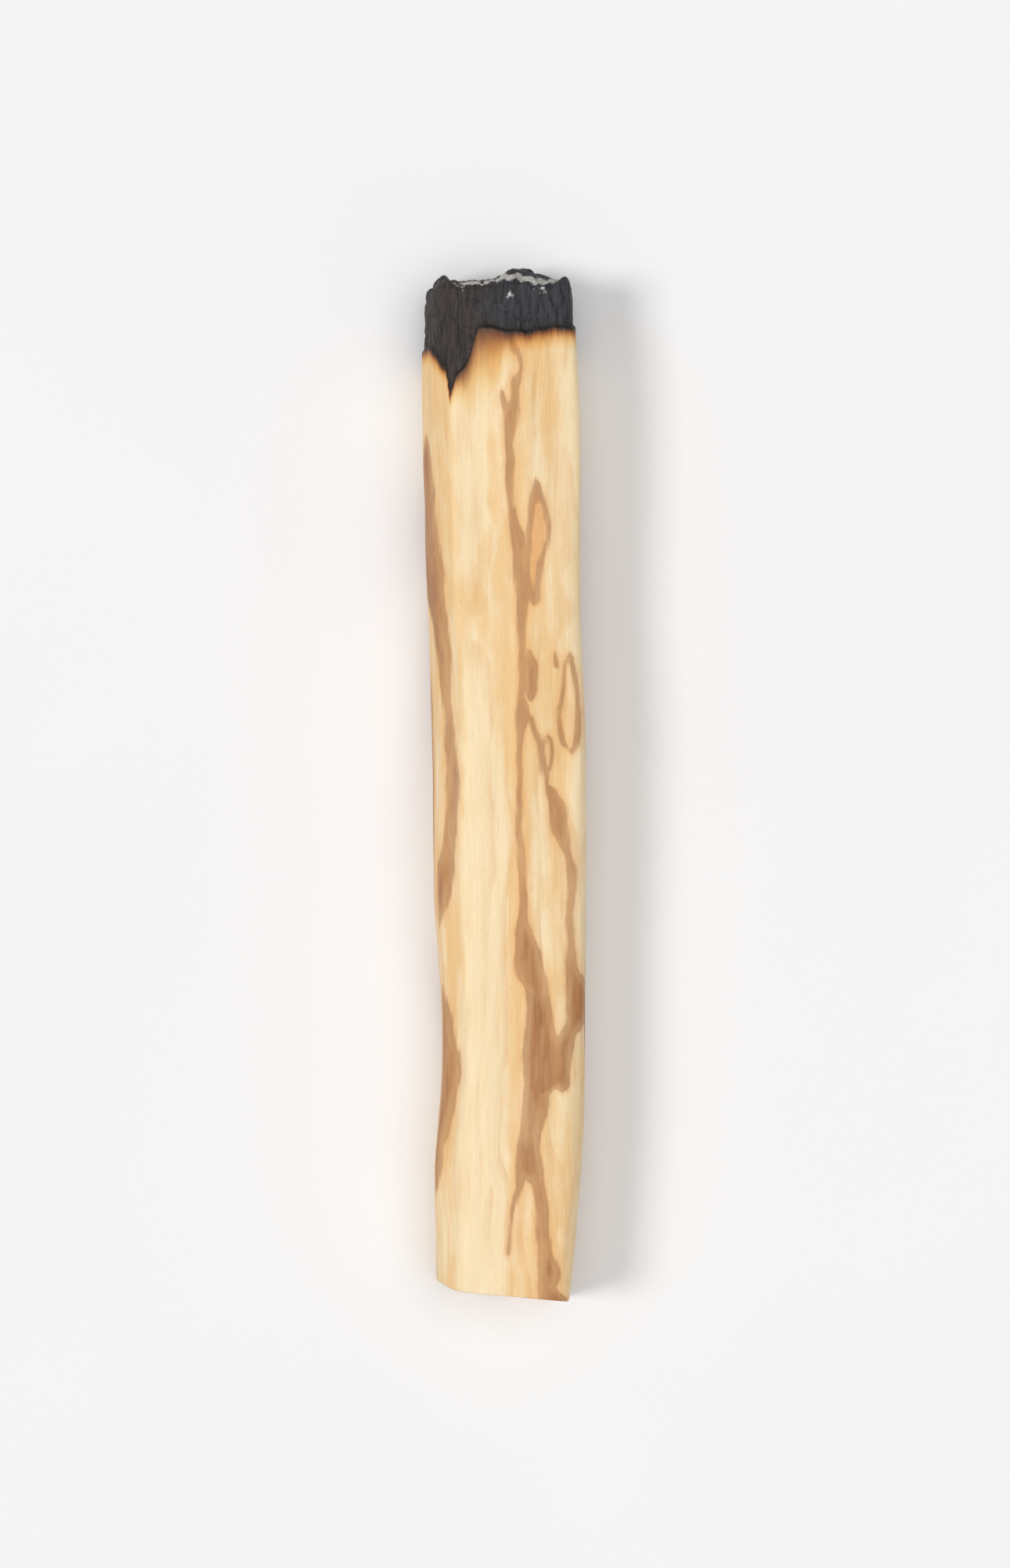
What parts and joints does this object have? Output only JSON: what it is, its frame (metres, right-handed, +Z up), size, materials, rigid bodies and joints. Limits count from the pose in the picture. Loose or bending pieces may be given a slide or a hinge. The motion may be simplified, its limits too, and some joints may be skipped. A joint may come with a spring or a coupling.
{
  "type": "palo santo stick",
  "caption": "Hand-split stick of aromatic wood, sawn square at one end and burnt black at the other, lying on its flat side.",
  "frame": {"origin": "middle of the stick's footprint, on the surface that it lies on", "axes": "+Y along the stick towards its burnt end, +X to the right seen from above with the burnt end away, +Z up"},
  "size_m": [0.016, 0.1, 0.0124],
  "materials": {
    "palo_santo_wood": "raw split wood, matte, with brown heartwood figure and one end charred black"
  },
  "bodies": {
    "root": {"palo_santo_stick": "palo_santo_wood"}
  },
  "joints": []
}
